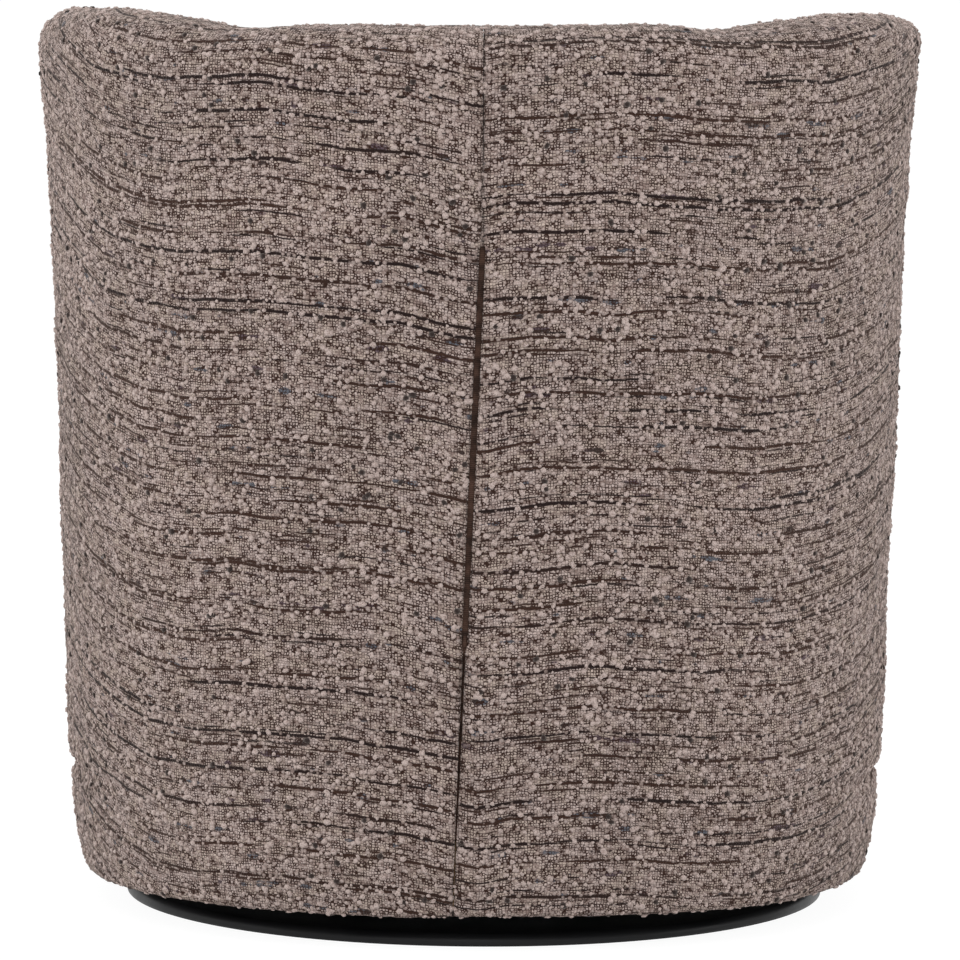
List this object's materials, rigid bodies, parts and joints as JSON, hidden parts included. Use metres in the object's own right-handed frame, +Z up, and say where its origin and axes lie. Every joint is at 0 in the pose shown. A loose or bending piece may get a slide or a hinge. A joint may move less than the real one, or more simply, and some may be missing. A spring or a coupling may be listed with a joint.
{
  "type": "swivel rocker armchair",
  "caption": "Upholstered barrel swivel rocker with sloping arms, a crowned seat cushion and a low round steel base.",
  "frame": {"origin": "on the floor, on the swivel axis under the middle of the body", "axes": "+Z up along the swivel axis, the sitter faces -Y, the sitter's left is +X"},
  "size_m": [0.7598, 0.7614, 0.7749],
  "materials": {
    "cloth": "loose boucle tweed, taupe and greige with dark brown and slate slubs",
    "timber": "sawn hardwood and plywood, unfinished",
    "foam": "foam with a cotton covering",
    "black_steel": "satin black powder coat",
    "zinc_steel": "bright zinc plate",
    "spring_steel": "oiled spring wire",
    "black_rubber": "matt",
    "nylon": "natural nylon",
    "black_cloth": "thin non-woven dust cloth",
    "zip": "brown zip tape with moulded coil"
  },
  "bodies": {
    "base": {"base_disc": "black_steel", "floor_pad": "black_rubber", "lower_race": "zinc_steel", "centre_bolt": "zinc_steel", "centre_nut": "zinc_steel"},
    "bearing_cage": {"ball_cage": "zinc_steel"},
    "cradle": {"upper_race": "zinc_steel", "rocker_cradle": "black_steel", "pivot_pin_left": "zinc_steel", "pivot_pin_right": "zinc_steel", "coil_spring_front_left": "spring_steel", "coil_spring_front_right": "spring_steel", "coil_spring_back_left": "spring_steel", "coil_spring_back_right": "spring_steel", "rubber_stop_front": "black_rubber", "rubber_stop_back": "black_rubber"},
    "body": {"rocker_plate": "black_steel", "pivot_bush_left": "nylon", "pivot_bush_right": "nylon", "mount_bolt_1": "zinc_steel", "mount_bolt_2": "zinc_steel", "mount_bolt_3": "zinc_steel", "mount_bolt_4": "zinc_steel", "mount_rail_left": "timber", "mount_rail_right": "timber", "base_hoop": "timber", "seat_ring": "timber", "dust_cover": "black_cloth", "back_top_rail": "timber", "arm_rail_left": "timber", "arm_rail_right": "timber", "back_post_left": "timber", "back_post_right": "timber", "side_post_left": "timber", "side_post_right": "timber", "arm_post_left": "timber", "arm_post_right": "timber", "front_post_left": "timber", "front_post_right": "timber", "seat_spring_1": "spring_steel", "seat_spring_2": "spring_steel", "seat_spring_3": "spring_steel", "seat_spring_4": "spring_steel", "outside_back_left": "cloth", "outside_back_right": "cloth", "outside_arm_left": "cloth", "outside_arm_right": "cloth", "rim_roll_left": "cloth", "rim_roll_right": "cloth", "inside_arm_pad_left": "cloth", "inside_arm_pad_right": "cloth", "inside_back_pad": "cloth", "arm_facing_left": "cloth", "arm_facing_right": "cloth", "front_panel": "cloth", "seat_deck": "foam", "seat_cushion": "cloth", "zip_tape": "zip"},
    "zip": {"zip_slider": "zip"}
  },
  "joints": [
    {"name": "swivel", "type": "hinge", "parent": "base", "child": "cradle", "pos_m": [0, 0, 0.02], "axis": [0, 0, 1], "continuous": true},
    {"name": "cage_spin", "type": "hinge", "parent": "base", "child": "bearing_cage", "pos_m": [0, 0, 0.02], "axis": [0, 0, 1], "continuous": true},
    {"name": "rock", "type": "hinge", "parent": "cradle", "child": "body", "pos_m": [0, 0, 0.075], "axis": [1, 0, 0], "range_deg": [-4, 4], "stiffness_Nm_per_rad": 850, "deforming": ["coil_spring_front_left", "coil_spring_front_right", "coil_spring_back_left", "coil_spring_back_right"]},
    {"name": "zip_slide", "type": "slide", "parent": "body", "child": "zip", "axis": [-0.0384, 0.0343, 0.9987], "range_m": [0, 0.32]}
  ],
  "couplings": [
    {"joint": "cage_spin", "follows": "swivel", "ratio": 0.5}
  ]
}
